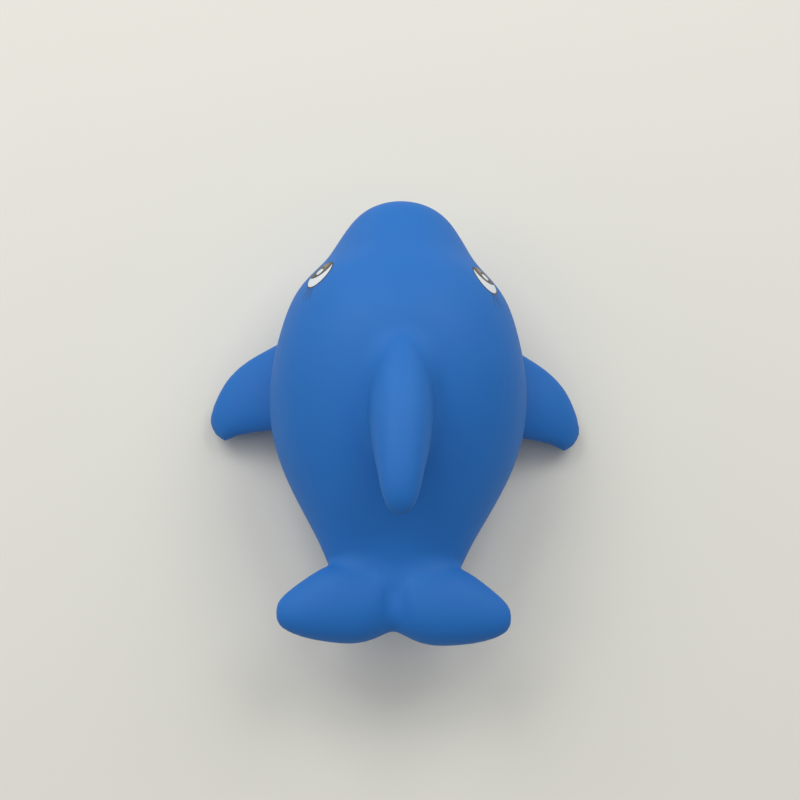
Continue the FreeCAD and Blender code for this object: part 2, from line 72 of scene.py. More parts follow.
# ------------------------------------------------------------------ shader maths
class Signal:
    """One output of a shader node, used as a number in Python expressions."""

    def __init__(self, graph: "Graph", socket: bpy.types.NodeSocket) -> None:
        """Wraps an output socket.

        Args:
            graph: the node tree that the socket belongs to.
            socket: the output socket.
        """
        self.graph = graph
        self.socket = socket

    def _math(self, operation: str, first: "Signal | float", second: "Signal | float") -> "Signal":
        """Adds one Math node.

        Args:
            operation: the Math node's operation.
            first: the left operand.
            second: the right operand.

        Returns:
            The node's result.
        """
        return self.graph.node("ShaderNodeMath", {"operation": operation}, {0: first, 1: second})

    def __add__(self, other: "Signal | float") -> "Signal":
        """Sum."""
        return self._math("ADD", self, other)

    __radd__ = __add__

    def __sub__(self, other: "Signal | float") -> "Signal":
        """Difference."""
        return self._math("SUBTRACT", self, other)

    def __rsub__(self, other: float) -> "Signal":
        """Difference with a plain number on the left."""
        return self._math("SUBTRACT", other, self)

    def __mul__(self, other: "Signal | float") -> "Signal":
        """Product."""
        return self._math("MULTIPLY", self, other)

    __rmul__ = __mul__

    def __truediv__(self, other: "Signal | float") -> "Signal":
        """Quotient."""
        return self._math("DIVIDE", self, other)

    def clamped(self) -> "Signal":
        """The signal held between 0 and 1."""
        return self._math("MINIMUM", self._math("MAXIMUM", self, 0.0), 1.0)


class Graph:
    """The node tree of one material."""

    def __init__(self, name: str) -> None:
        """Starts an empty material.

        Args:
            name: the material's name.
        """
        self.material = bpy.data.materials.new(name)
        self.material.use_nodes = True
        self.tree = self.material.node_tree
        self.tree.nodes.clear()

    def node(
        self,
        kind: str,
        settings: dict[str, object] | None = None,
        inputs: dict[str | int, object] | None = None,
        output: str | int = 0,
    ) -> Signal:
        """Adds a node.

        Args:
            kind: the node's type.
            settings: properties that are set first, such as a Math node's operation.
            inputs: values or signals by socket name or number.
            output: the output that the signal reads.

        Returns:
            The chosen output as a signal.
        """
        made = self.tree.nodes.new(kind)
        for name, value in (settings or {}).items():
            setattr(made, name, value)
        for key, value in (inputs or {}).items():
            socket = made.inputs[key]
            if isinstance(value, Signal):
                self.tree.links.new(value.socket, socket)
            else:
                socket.default_value = value
        return Signal(self, made.outputs[output])

    def place(self, turn: Vector = Vector()) -> Signal:
        """Object coordinates, turned about the toy's origin.

        Args:
            turn: rotation of the pattern, in radians.

        Returns:
            The coordinates.
        """
        spot = self.node("ShaderNodeTexCoord", output="Object")
        sockets = {"Vector": spot, "Rotation": turn}
        return self.node("ShaderNodeMapping", {"vector_type": "TEXTURE"}, sockets)

    def noise(self, where: Signal, scale: float, detail: float = 2.0, roughness: float = 0.5) -> Signal:
        """A noise value about 0.5.

        Args:
            where: the coordinates.
            scale: cells in a metre.
            detail: octaves.
            roughness: weight of the finer octaves.

        Returns:
            The noise.
        """
        sizes = {"Vector": where, "Scale": scale, "Detail": detail, "Roughness": roughness}
        return self.node("ShaderNodeTexNoise", None, sizes, "Fac")

    def mix(self, factor: Signal, low: Colour, high: Colour) -> Signal:
        """Mixes two colours.

        Args:
            factor: share of the second colour.
            low: the first colour.
            high: the second colour.

        Returns:
            The mixed colour.
        """
        # The Mix node's socket names repeat, so its colour sockets go by number.
        return self.node("ShaderNodeMix", {"data_type": "RGBA"}, {0: factor, 6: low, 7: high}, 2)

    def bump(self, height: Signal, strength: float, depth: float, under: Signal | None = None) -> Signal:
        """Bends the normal by a height.

        Args:
            height: the height signal.
            strength: share of the effect.
            depth: height of a full step, in metres.
            under: a coarser bump below this one.

        Returns:
            The bent normal.
        """
        inputs: dict[str | int, object] = {"Height": height, "Strength": strength, "Distance": depth}
        if under is not None:
            inputs["Normal"] = under
        return self.node("ShaderNodeBump", None, inputs, "Normal")

    def finish(self, **sockets: object) -> bpy.types.Material:
        """Adds the surface shader and the output.

        Args:
            sockets: the shader's inputs, with underscores for spaces.

        Returns:
            The finished material.
        """
        inputs = {name.replace("_", " "): value for name, value in sockets.items()}
        surface = self.node("ShaderNodeBsdfPrincipled", None, inputs, "BSDF")
        output = self.tree.nodes.new("ShaderNodeOutputMaterial")
        self.tree.links.new(surface.socket, output.inputs["Surface"])
        return self.material


# ------------------------------------------------------------------ finishes
@dataclass(frozen=True)
class VinylFinish:
    """Soft blue vinyl as it leaves the mould: satin, with a fine matte grain."""

    name: str = "blue_vinyl"
    colour: Colour = (0.012, 0.170, 0.565, 1.0)
    deeper: Colour = (0.0095, 0.146, 0.515, 1.0)
    roughness: float = 0.6
    refraction: float = 1.42
    cloud_scale: float = 38.0
    wave_scale: float = 70.0
    handling_scale: float = 150.0
    grain_scale: float = 2600.0

    def material(self) -> bpy.types.Material:
        """Builds the material.

        Returns:
            The material, ready for a piece.
        """
        graph = Graph(self.name)
        spot = graph.place()
        cloud = graph.noise(spot, self.cloud_scale, 3.0)
        grain = graph.noise(spot, self.grain_scale, 2.0, 0.6)
        wave = graph.noise(spot, self.wave_scale, 2.0, 0.4)
        handled = graph.noise(spot, self.handling_scale, 4.0, 0.6)
        shade = (cloud * 0.9 + grain * 0.35 - 0.12).clamped()
        base = graph.mix(shade, self.deeper, self.colour)
        rough = self.roughness + (handled - 0.5) * 0.14 + (grain - 0.5) * 0.1
        broad = graph.bump(wave, 0.25, 0.35 * MM)
        fine = graph.bump(grain, 0.22, 0.05 * MM, broad)
        return graph.finish(Base_Color=base, Roughness=rough, Normal=fine, IOR=self.refraction)


@dataclass(frozen=True)
class InkFinish:
    """Printed ink: an even film with a faint stipple and a slight gloss."""

    name: str
    colour: Colour
    thin: Colour
    roughness: float = 0.34
    refraction: float = 1.48
    cover_scale: float = 900.0
    stipple_scale: float = 5200.0

    def material(self) -> bpy.types.Material:
        """Builds the material.

        Returns:
            The material, ready for a piece.
        """
        graph = Graph(self.name)
        spot = graph.place()
        stipple = graph.noise(spot, self.stipple_scale, 2.0, 0.6)
        cover = graph.noise(spot, self.cover_scale, 3.0, 0.5)
        base = graph.mix((cover * 0.7 + stipple * 0.4 - 0.1).clamped(), self.thin, self.colour)
        rough = self.roughness + (stipple - 0.5) * 0.12
        relief = graph.bump(stipple, 0.15, 0.02 * MM)
        return graph.finish(Base_Color=base, Roughness=rough, Normal=relief, IOR=self.refraction)


@dataclass(frozen=True)
class IrisFinish:
    """Brown ink that darkens from the pupil's edge to the rim."""

    name: str
    centre: Vector
    radius: float
    inner: Colour = (0.24, 0.19, 0.085, 1.0)
    outer: Colour = (0.055, 0.045, 0.03, 1.0)
    roughness: float = 0.32
    fleck_scale: float = 2400.0

    def material(self) -> bpy.types.Material:
        """Builds the material.

        Returns:
            The material, ready for a piece.
        """
        graph = Graph(self.name)
        spot = graph.node("ShaderNodeTexCoord", output="Object")
        reach = graph.node(
            "ShaderNodeVectorMath", {"operation": "DISTANCE"}, {0: spot, 1: self.centre}, "Value")
        fleck = graph.noise(spot, self.fleck_scale, 3.0, 0.6)
        share = ((reach / self.radius - 0.45) * 1.9 + (fleck - 0.5) * 0.5).clamped()
        base = graph.mix(share, self.inner, self.outer)
        rough = self.roughness + fleck * 0.08
        relief = graph.bump(fleck, 0.12, 0.02 * MM)
        return graph.finish(Base_Color=base, Roughness=rough, Normal=relief)


@dataclass(frozen=True)
class PlasticFinish:
    """Rigid off-white moulded plastic with a fine spark-eroded texture."""

    name: str = "squeaker_plastic"
    colour: Colour = (0.72, 0.72, 0.68, 1.0)
    shaded: Colour = (0.62, 0.62, 0.57, 1.0)
    roughness: float = 0.4
    flow_scale: float = 180.0
    spark_scale: float = 4200.0

    def material(self) -> bpy.types.Material:
        """Builds the material.

        Returns:
            The material, ready for a piece.
        """
        graph = Graph(self.name)
        spot = graph.place()
        flow = graph.noise(spot, self.flow_scale, 3.0)
        spark = graph.noise(spot, self.spark_scale, 3.0, 0.7)
        base = graph.mix((flow * 0.8 + spark * 0.3).clamped(), self.shaded, self.colour)
        rough = self.roughness + (spark - 0.5) * 0.18
        relief = graph.bump(spark, 0.2, 0.03 * MM)
        return graph.finish(Base_Color=base, Roughness=rough, Normal=relief)


@dataclass(frozen=True)
class FilmFinish:
    """The clear polyester film of the reed, slightly milky."""

    name: str = "reed_film"
    colour: Colour = (0.78, 0.8, 0.78, 1.0)
    milky: Colour = (0.7, 0.72, 0.7, 1.0)
    roughness: float = 0.16
    scratch_scale: float = 1800.0
    scratch_turn: Vector = field(default_factory=lambda: Vector((0.0, 0.0, 0.3)))

    def material(self) -> bpy.types.Material:
        """Builds the material.

        Returns:
            The material, ready for a piece.
        """
        graph = Graph(self.name)
        scratch = graph.noise(graph.place(self.scratch_turn), self.scratch_scale, 4.0, 0.7)
        rough = self.roughness + scratch * 0.16
        base = graph.mix(scratch, self.colour, self.milky)
        relief = graph.bump(scratch, 0.1, 0.01 * MM)
        return graph.finish(Base_Color=base, Roughness=rough, Normal=relief)


@dataclass(frozen=True)
class FloorFinish:
    """The pale matte card that the toy stands on."""

    name: str = "pale_floor"
    colour: Colour = (0.812, 0.798, 0.727, 1.0)
    roughness: float = 0.85
    tooth_scale: float = 900.0
    tooth_shade: float = 0.985

    def material(self) -> bpy.types.Material:
        """Builds the material.

        Returns:
            The material, ready for a piece.
        """
        graph = Graph(self.name)
        spot = graph.place()
        tooth = graph.noise(spot, self.tooth_scale, 3.0, 0.6)
        red, green, blue = (part * self.tooth_shade for part in self.colour[:3])
        base = graph.mix(tooth, self.colour, (red, green, blue, 1.0))
        relief = graph.bump(tooth, 0.05, 0.05 * MM)
        return graph.finish(Base_Color=base, Roughness=self.roughness, Normal=relief)


# ------------------------------------------------------------------ mesh helpers
def to_object(name: str, shape: bmesh.types.BMesh) -> bpy.types.Object:
    """Makes an object of a bmesh and puts it in the scene.

    Args:
        name: the object's name.
        shape: its shape, in metres in the frame; it is freed.

    Returns:
        The new object.
    """
    mesh = bpy.data.meshes.new(name)
    shape.to_mesh(mesh)
    shape.free()
    made = bpy.data.objects.new(name, mesh)
    bpy.context.scene.collection.objects.link(made)
    return made


def new_piece(
    name: str, shape: bmesh.types.BMesh, material: bpy.types.Material
) -> bpy.types.Object:
    """Makes a dressed piece that rides on the toy.

    Args:
        name: the piece's name.
        shape: its shape, in metres in the frame; it is freed.
        material: its finish.

    Returns:
        The new object.
    """
    piece = to_object(name, shape)
    piece.data.materials.append(material)
    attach(piece, "toy")
    return piece


def shade_smooth(piece: bpy.types.Object, sharp_from: float) -> None:
    """Shades a piece smooth, except at edges sharper than an angle in degrees."""
    piece.data.polygons.foreach_set("use_smooth", [True] * len(piece.data.polygons))
    piece.data.set_sharp_from_angle(angle=math.radians(sharp_from))


def lathe(profile: list[tuple[float, float]], centre: Vector, steps: int) -> bmesh.types.BMesh:
    """Spins a closed half profile into a solid.

    Args:
        profile: (radius, height) corners from the axis round to the axis, in metres.
        centre: where the axis meets height zero.
        steps: faces round the axis.

    Returns:
        The solid.
    """
    shape = bmesh.new()
    corners = [shape.verts.new(centre + Vector((radius, 0.0, height))) for radius, height in profile]
    edges = [shape.edges.new(pair) for pair in zip(corners, corners[1:])]
    bmesh.ops.spin(
        shape, geom=corners + edges, cent=centre, axis=(0.0, 0.0, 1.0),
        angle=2.0 * math.pi, steps=steps, use_merge=True)
    bmesh.ops.remove_doubles(shape, verts=shape.verts, dist=SEAM)
    bmesh.ops.recalc_face_normals(shape, faces=shape.faces)
    return shape


def apply_modifier(piece: bpy.types.Object, kind: str, **settings: object) -> None:
    """Adds a modifier and applies it.

    Args:
        piece: the object.
        kind: the modifier's type.
        settings: its properties.
    """
    modifier = piece.modifiers.new(kind.lower(), kind)
    for name, value in settings.items():
        setattr(modifier, name, value)
    depsgraph = bpy.context.evaluated_depsgraph_get()
    depsgraph.update()
    done = bpy.data.meshes.new_from_object(piece.evaluated_get(depsgraph))
    piece.modifiers.clear()
    old = piece.data
    piece.data = done
    bpy.data.meshes.remove(old)


# ------------------------------------------------------------------ the vinyl body
@dataclass
class Root:
    """Where a fin leaves the body, and how widely the vinyl is rounded there."""

    name: str
    low: Vector
    high: Vector
    reach: float
    rounds: int

    def holds(self, point: Vector) -> bool:
        """Tells whether a point lies in this root's box, on either side of the toy."""
        spot = Vector((abs(point.x), point.y, point.z))
        return all(low <= value <= high for low, value, high in zip(self.low, spot, self.high))


@dataclass
class MouthLine:
    """The moulded line of the closed mouth, which runs round the snout.

    It falls behind the snout's front by a slope, and turns up again by a square term.
    """

    depth: float = 0.55 * MM
    half_width: float = 0.75 * MM
    front_y: float = 66.5 * MM
    front_height: float = 20.5 * MM
    slope: float = 0.10
    upturn: float = 6.0
    fade_y: float = 43.0 * MM
    fade_length: float = 6.0 * MM
    finer_y: float = 41.0 * MM
    finer_reach: float = 2.6 * MM

    def above(self, vert: bmesh.types.BMVert) -> float:
        """Height of a vertex above the line, in metres."""
        back = max(0.0, self.front_y - vert.co.y)
        return vert.co.z - (self.front_height - self.slope * back + self.upturn * back * back)

    def press(self, skin: bmesh.types.BMesh) -> None:
        """Presses the line into the skin, with a finer mesh under it.

        Args:
            skin: the outer skin.
        """
        near = {
            vert for vert in skin.verts
            if vert.co.y > self.finer_y and abs(self.above(vert)) < self.finer_reach}
        edges = [edge for edge in skin.edges if edge.verts[0] in near and edge.verts[1] in near]
        bmesh.ops.subdivide_edges(skin, edges=edges, cuts=1, use_grid_fill=True)
        skin.normal_update()
        moves = []
        for vert in skin.verts:
            share = min(1.0, max(0.0, (vert.co.y - self.fade_y) / self.fade_length))
            if share > 0.0:
                depth = self.depth * math.exp(-((self.above(vert) / self.half_width) ** 2))
                moves.append((vert, vert.normal * (depth * share * share * (3.0 - 2.0 * share))))
        for vert, step in moves:
            vert.co -= step


@dataclass
class VinylBody:
    """The one-piece skin: body, flippers, flukes and dorsal fin, open at the squeaker."""

    finish: VinylFinish
    mouth: MouthLine = field(default_factory=MouthLine)
    weld: float = 2e-6
    voxel: float = 0.75 * MM
    crease_angle: float = math.radians(14.0)
    fill_levels: int = 6
    first_rounds: int = 2
    settle_rounds: int = 10
    settle_in: float = 0.5
    settle_out: float = -0.52
    still_below: float = 0.4 * MM
    flat_below: float = 0.12 * MM
    tip_rounds: int = 9
    tip_start: float = 46.0 * MM
    tip_step: float = 0.6 * MM
    flange_radius: float = 11.1 * MM
    flange_depth: float = 1.3 * MM
    bore_radius: float = 8.05 * MM
    bore_depth: float = 6.6 * MM
    lip: float = 0.45 * MM
    stopper_margin: float = 1.0 * MM
    stopper_step: float = 1.7 * MM
    stopper_depth: float = 6.3 * MM
    roots: list[Root] = field(default_factory=lambda: [
        Root("dorsal ridge", Vector((0.0, 0.006, 0.040)), Vector((0.020, 0.040, 0.075)), 9.0 * MM, 24),
        Root("dorsal flank", Vector((0.0, -0.045, 0.040)), Vector((0.020, 0.010, 0.075)), 5.0 * MM, 10),
        Root("flipper", Vector((0.022, -0.015, 0.0)), Vector((0.060, 0.045, 0.040)), 5.0 * MM, 9),
        Root("fluke", Vector((0.009, -0.075, 0.012)), Vector((0.045, -0.038, 0.045)), 3.6 * MM, 7),
        Root("fluke middle", Vector((0.0, -0.062, 0.025)), Vector((0.009, -0.045, 0.045)), 8.0 * MM, 20),
    ])

    def build(self) -> bpy.types.Object:
        """Builds the skin.

        Returns:
            The dressed object, which stands for the CAD shell.
        """
        shape = bmesh.new()
        shape.from_mesh(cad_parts["body_shell"].data)
        bmesh.ops.remove_doubles(shape, verts=shape.verts, dist=self.weld)
        creases = self._creases(shape)
        self._stop_bore(shape)
        piece = new_piece("vinyl_skin", shape, self.finish.material())
        apply_modifier(piece, "REMESH", mode="VOXEL", voxel_size=self.voxel, adaptivity=0.0)
        skin = bmesh.new()
        skin.from_mesh(piece.data)
        self._keep_outside(skin)
        self._round_corners(skin, creases)
        self.mouth.press(skin)
        self._seat_flat(skin)
        skin.to_mesh(piece.data)
        skin.free()
        self._bore(piece)
        shade_smooth(piece, 50.0)
        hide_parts("body_shell")
        return piece

    def _stop_bore(self, shape: bmesh.types.BMesh) -> None:
        """Stops the squeaker's bore, so that the remesh keeps inside and outside apart.

        Args:
            shape: the merged copy of the CAD shell.
        """
        wide = self.flange_radius + self.stopper_margin
        narrow = self.bore_radius + self.stopper_margin
        stopper = lathe(
            [(0.0, 0.0), (wide, 0.0), (wide, self.stopper_step), (narrow, self.stopper_step),
             (narrow, self.stopper_depth), (0.0, self.stopper_depth)],
            Vector((0.0, SQUEAKER_Y, 0.0)), 96)
        spare = bpy.data.meshes.new("spare")
        stopper.to_mesh(spare)
        stopper.free()
        shape.from_mesh(spare)
        bpy.data.meshes.remove(spare)

    def _creases(self, shape: bmesh.types.BMesh) -> list[tuple[Vector, Root]]:
        """Finds the sharp inner corners where the fins leave the body.

        Args:
            shape: the merged copy of the CAD shell.

        Returns:
            Points along the corners, each with its root.
        """
        found = []
        for edge in shape.edges:
            if len(edge.link_faces) != 2 or edge.calc_face_angle_signed(0.0) > -self.crease_angle:
                continue
            for share in (0.0, 0.5, 1.0):
                point = edge.verts[0].co.lerp(edge.verts[1].co, share)
                for root in self.roots:
                    if root.holds(point):
                        found.append((point, root))
        return found

    def _keep_outside(self, skin: bmesh.types.BMesh) -> None:
        """Drops the hidden inner wall and keeps the island that reaches the nose.

        Args:
            skin: the remeshed shell.
        """
        start = max(skin.verts, key=lambda vert: vert.co.y)
        reached = {start}
        edge_front = [start]
        while edge_front:
            ahead = []
            for vert in edge_front:
                for edge in vert.link_edges:
                    other = edge.other_vert(vert)
                    if other not in reached:
                        reached.add(other)
                        ahead.append(other)
            edge_front = ahead
        inner = [vert for vert in skin.verts if vert not in reached]
        bmesh.ops.delete(skin, geom=inner, context="VERTS")

    def _round_corners(self, skin: bmesh.types.BMesh, creases: list[tuple[Vector, Root]]) -> None:
        """Rounds the corners where the fins leave the body, and the tips of the flippers.

        Args:
            skin: the outer skin.
            creases: points along the corners.
        """
        self._settle(skin, self._free(skin), self.first_rounds)
        for root in self.roots:
            points = [point for point, owner in creases if owner is root]
            if not points:
                LOG.info("no corner found at the %s", root.name)
                continue
            tree = KDTree(len(points))
            for index, point in enumerate(points):
                tree.insert(point, index)
            tree.balance()
            near = [(tree.find(vert.co)[2], vert) for vert in skin.verts]
            for level in range(self.fill_levels):
                limit = root.reach * (1.0 - level / self.fill_levels)
                self._fill(skin, [vert for distance, vert in near if distance < limit], root.rounds)
        free = self._free(skin)
        self._settle(skin, free, self.settle_rounds)
        for step in range(self.tip_rounds):
            start = self.tip_start + step * self.tip_step
            self._relax(skin, [vert for vert in free if abs(vert.co.x) > start], self.settle_in)

    def _free(self, skin: bmesh.types.BMesh) -> list[bmesh.types.BMVert]:
        """The vertices above the belly's flat, which may move."""
        return [vert for vert in skin.verts if vert.co.z > self.still_below]

    @staticmethod
    def _relax(skin: bmesh.types.BMesh, verts: list[bmesh.types.BMVert], share: float) -> None:
        """Moves vertices a share of the way to the middle of their neighbours, or away below zero."""
        bmesh.ops.smooth_vert(
            skin, verts=verts, factor=share, use_axis_x=True, use_axis_y=True, use_axis_z=True)

    def _settle(self, skin: bmesh.types.BMesh, verts: list[bmesh.types.BMVert], rounds: int) -> None:
        """Evens out a stretch of the skin without shrinking it.

        Args:
            skin: the outer skin.
            verts: the vertices of the stretch.
            rounds: pairs of a step in and a step out.
        """
        for _ in range(rounds):
            self._relax(skin, verts, self.settle_in)
            self._relax(skin, verts, self.settle_out)

    def _fill(self, skin: bmesh.types.BMesh, verts: list[bmesh.types.BMVert], rounds: int) -> None:
        """Fills an inner corner and leaves what bulges beside it.

        Args:
            skin: the outer skin.
            verts: the vertices round the corner.
            rounds: steps of filling.
        """
        skin.normal_update()
        for _ in range(rounds):
            before = [vert.co.copy() for vert in verts]
            self._relax(skin, verts, self.settle_in)
            for vert, old in zip(verts, before):
                if (vert.co - old).dot(vert.normal) < 0.0:
                    vert.co = old

    def _seat_flat(self, skin: bmesh.types.BMesh) -> None:
        """Lays the belly's flat exactly on the floor.

        Args:
            skin: the outer skin.
        """
        for vert in skin.verts:
            if vert.co.z < self.flat_below:
                vert.co.z = 0.0

    def _bore(self, piece: bpy.types.Object) -> None:
        """Opens the recess and the bore that hold the squeaker.

        Args:
            piece: the skin.
        """
        lip = self.lip
        shape = lathe(
            [(0.0, -MM), (self.flange_radius + lip, -MM), (self.flange_radius + lip, 0.0),
             (self.flange_radius + 0.3 * lip, 0.3 * lip), (self.flange_radius, lip),
             (self.flange_radius, self.flange_depth), (self.bore_radius, self.flange_depth),
             (self.bore_radius, self.bore_depth), (0.0, self.bore_depth)],
            Vector((0.0, SQUEAKER_Y, 0.0)), 128)
        cutter = to_object("cutter", shape)
        apply_modifier(piece, "BOOLEAN", operation="DIFFERENCE", solver="EXACT", object=cutter)
        mesh = cutter.data
        bpy.data.objects.remove(cutter)
        bpy.data.meshes.remove(mesh)


# ------------------------------------------------------------------ the printed eyes
@dataclass
class PrintedEye:
    """One pad-printed eye: outline, white, brown iris, pupil, glint and lashes.

    It is drawn flat, with X ahead and Y up, and then laid on the cheek. Angles are in degrees.
    """

    side: Side
    centre: Vector = field(default_factory=lambda: Vector((24.318, 36.895, 43.403)) * MM)
    ahead: Vector = field(default_factory=lambda: Vector((-0.5035, 0.8477, -0.1669)))
    upward: Vector = field(default_factory=lambda: Vector((-0.5881, -0.1948, 0.7850)))
    outward: Vector = field(default_factory=lambda: Vector((0.6330, 0.4933, 0.5966)))
    half_length: float = 5.0 * MM
    half_height: float = 4.0 * MM
    line: float = 0.45 * MM
    iris_at: tuple[float, float] = (2.7 * MM, -1.7 * MM)
    iris_radius: float = 3.8 * MM
    iris_rim: float = 0.5 * MM
    pupil_back: float = 1.2 * MM
    pupil_radius: float = 2.1 * MM
    glint_at: tuple[float, float] = (0.9 * MM, -0.5 * MM)
    glint_size: tuple[float, float] = (1.3 * MM, 1.2 * MM)
    lash_length: float = 4.2 * MM
    lash_width: float = 0.4 * MM
    lash_angles: tuple[float, ...] = (166.0, 179.0, 192.0)
    lash_taper: float = 0.85
    coat: float = 0.03 * MM
    bite: float = 0.6
    ray_start: float = 6.0 * MM
    white_ink: Colour = (0.80, 0.83, 0.84, 1.0)
    thin_white_ink: Colour = (0.70, 0.75, 0.80, 1.0)
    black_ink: Colour = (0.012, 0.013, 0.022, 1.0)
    thin_black_ink: Colour = (0.018, 0.028, 0.06, 1.0)

    def build(self, skin: BVHTree) -> list[bpy.types.Object]:
        """Prints the eye on the skin.

        Args:
            skin: the vinyl skin as a search tree.

        Returns:
            The dressed films, one for each ink.
        """
        word = self.side.name.lower()
        ball = (self.half_length, self.half_height)
        outline = (self.half_length + self.line, self.half_height + self.line)
        iris = (self.iris_radius, self.iris_radius)
        rim = (self.iris_radius + self.iris_rim, self.iris_radius + self.iris_rim)
        pupil_at = (self.iris_at[0] - self.pupil_back, self.iris_at[1])
        pupil = (self.pupil_radius, self.pupil_radius)
        black = bmesh.new()
        self._disc(black, skin, (0.0, 0.0), outline, outline, Layer.OUTLINE, 56)
        self._disc(black, skin, self.iris_at, rim, outline, Layer.IRIS_RIM, 44)
        self._disc(black, skin, pupil_at, pupil, ball, Layer.PUPIL, 30)
        for angle in self.lash_angles:
            self._lash(black, skin, math.radians(angle))
        white = bmesh.new()
        self._disc(white, skin, (0.0, 0.0), ball, ball, Layer.WHITE, 56)
        self._disc(white, skin, self.glint_at, self.glint_size, ball, Layer.GLINT, 26)
        brown = bmesh.new()
        self._disc(brown, skin, self.iris_at, iris, ball, Layer.IRIS, 40)
        films = [
            (white, "white", "eye_white_ink", InkFinish(
                f"{word}_eye_white_ink", self.white_ink, self.thin_white_ink)),
            (brown, "iris", "eye_brown_ink", IrisFinish(
                f"{word}_eye_brown_ink", self._spot(*self.iris_at), self.iris_radius)),
            (black, "black", "eye_black_ink", InkFinish(
                f"{word}_eye_black_ink", self.black_ink, self.thin_black_ink)),
        ]
        made = []
        for shape, ink, slot, finish in films:
            piece = new_piece(f"{word}_eye_{ink}_ink", shape, finish.material())
            shade_smooth(piece, 45.0)
            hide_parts(f"{word}_eye_{ink}")
            made.append(piece)
        return made

    def _sided(self, vector: Vector) -> Vector:
        """A vector of the right eye, taken to this eye's side."""
        return Vector((vector.x * self.side.value, vector.y, vector.z))

    def _spot(self, along: float, up: float) -> Vector:
        """A point of the flat drawing, in the frame."""
        return self._sided(self.centre + self.ahead * along + self.upward * up)

    def _print(
        self, shape: bmesh.types.BMesh, verts: list[bmesh.types.BMVert], skin: BVHTree, layer: Layer
    ) -> None:
        """Lays a flat patch on the skin and gives it the thickness of its layer.

        Args:
            shape: the film's bmesh.
            verts: the patch's vertices, with the drawing's coordinates in X and Y.
            skin: the vinyl skin.
            layer: its place in the pile of films.
        """
        outward = self._sided(self.outward)
        for vert in verts:
            start = self._spot(vert.co.x, vert.co.y) + outward * self.ray_start
            place, normal, _, _ = skin.ray_cast(start, -outward)
            vert.co = place + normal * (self.coat * layer.value)
        faces = list({face for vert in verts for face in vert.link_faces})
        for face in faces:
            face.normal_update()
            if face.normal.dot(outward) < 0.0:
                face.normal_flip()
        bmesh.ops.solidify(shape, geom=faces, thickness=self.coat * (layer.value + self.bite))

    def _disc(
        self,
        shape: bmesh.types.BMesh,
        skin: BVHTree,
        middle: tuple[float, float],
        size: tuple[float, float],
        lid: tuple[float, float],
        layer: Layer,
        cells: int,
    ) -> None:
        """Prints the part of an oval that the eye's own oval leaves open.

        Args:
            shape: the film's bmesh.
            skin: the vinyl skin.
            middle: the oval's middle in the drawing.
            size: its half length and half height.
            lid: half length and half height of the oval, about the eye's middle, that bounds it.
            layer: its place in the pile of films.
            cells: cells across the patch.
        """
        grid = bmesh.ops.create_grid(shape, x_segments=cells, y_segments=cells, size=1.0)["verts"]
        for vert in grid:
            # The square patch is bent into a disc, so that it has no seam or pole.
            x, y = vert.co.x, vert.co.y
            along = x * math.sqrt(1.0 - 0.5 * y * y)
            up = y * math.sqrt(1.0 - 0.5 * x * x)
            reach = math.hypot(along, up)
            if reach > 0.0:
                step = (size[0] * along / reach, size[1] * up / reach)
                share = min(1.0, self._room(middle, step, lid))
                along, up = along * share, up * share
            vert.co.x = middle[0] + size[0] * along
            vert.co.y = middle[1] + size[1] * up
        self._print(shape, grid, skin, layer)

    @staticmethod
    def _room(
        start: tuple[float, float], step: tuple[float, float], lid: tuple[float, float]
    ) -> float:
        """Counts how many steps lead from a point inside an oval to its edge.

        Args:
            start: the point, from the oval's middle.
            step: one step.
            lid: the oval's half length and half height.

        Returns:
            The number of steps.
        """
        square = (step[0] / lid[0]) ** 2 + (step[1] / lid[1]) ** 2
        half = start[0] * step[0] / lid[0] ** 2 + start[1] * step[1] / lid[1] ** 2
        rest = (start[0] / lid[0]) ** 2 + (start[1] / lid[1]) ** 2 - 1.0
        return (math.sqrt(max(0.0, half * half - square * rest)) - half) / square

    def _lash(self, shape: bmesh.types.BMesh, skin: BVHTree, angle: float) -> None:
        """Prints one tapering lash.

        Args:
            shape: the film's bmesh.
            skin: the vinyl skin.
            angle: where it leaves the outline, round the eye from its front.
        """
        grid = bmesh.ops.create_grid(shape, x_segments=14, y_segments=2, size=1.0)["verts"]
        root = Vector((self.half_length * math.cos(angle), self.half_height * math.sin(angle)))
        along = Vector((math.cos(angle), math.sin(angle)))
        across = Vector((-along.y, along.x))
        for vert in grid:
            share = (vert.co.x + 1.0) / 2.0
            half = self.lash_width / 2.0 * (1.0 - self.lash_taper * share)
            spot = root + along * (share * (self.lash_length + self.line)) + across * (vert.co.y * half)
            vert.co.x, vert.co.y = spot
        self._print(shape, grid, skin, Layer.OUTLINE)


